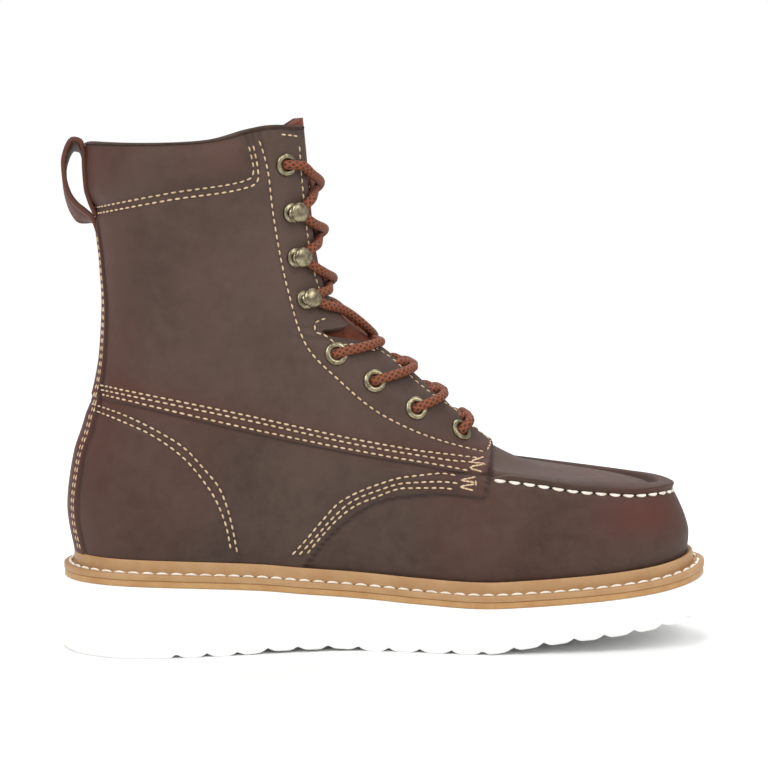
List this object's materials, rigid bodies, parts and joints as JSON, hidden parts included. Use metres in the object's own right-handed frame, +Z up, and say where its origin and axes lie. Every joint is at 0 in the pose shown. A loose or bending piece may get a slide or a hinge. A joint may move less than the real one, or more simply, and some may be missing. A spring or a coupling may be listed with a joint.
{
  "type": "wedge sole work boot",
  "caption": "Left 8-inch moc-toe lace-up work boot in brown oiled leather on a white wedge sole, with tan storm welt, brass eyelets and hooks.",
  "frame": {"origin": "centre of the boot's box on the floor under the sole", "axes": "+X towards the toe, +Y towards the outer side of the left foot, +Z up"},
  "size_m": [0.3066, 0.1106, 0.2477],
  "materials": {
    "brown_leather": "oiled, matt",
    "rust_lining": "matt",
    "tan_welt": "satin",
    "insole_board": "matt",
    "white_rubber": "matt",
    "antique_brass": "aged",
    "lace_cord": "braided"
  },
  "bodies": {
    "root": {"outsole": "white_rubber", "midsole": "tan_welt", "welt": "tan_welt", "insole": "insole_board", "upper": "brown_leather", "tongue": "rust_lining", "backstay": "brown_leather", "pull_loop": "brown_leather", "quarter_medial": "brown_leather", "strap_medial": "brown_leather", "eyestay_medial": "brown_leather", "eyelet_1_medial": "antique_brass", "eyelet_2_medial": "antique_brass", "eyelet_3_medial": "antique_brass", "eyelet_4_medial": "antique_brass", "eyelet_5_medial": "antique_brass", "hook_1_medial": "antique_brass", "hook_2_medial": "antique_brass", "hook_3_medial": "antique_brass", "quarter_lateral": "brown_leather", "strap_lateral": "brown_leather", "eyestay_lateral": "brown_leather", "eyelet_1_lateral": "antique_brass", "eyelet_2_lateral": "antique_brass", "eyelet_3_lateral": "antique_brass", "eyelet_4_lateral": "antique_brass", "eyelet_5_lateral": "antique_brass", "hook_1_lateral": "antique_brass", "hook_2_lateral": "antique_brass", "hook_3_lateral": "antique_brass", "lace": "lace_cord"}
  },
  "joints": []
}
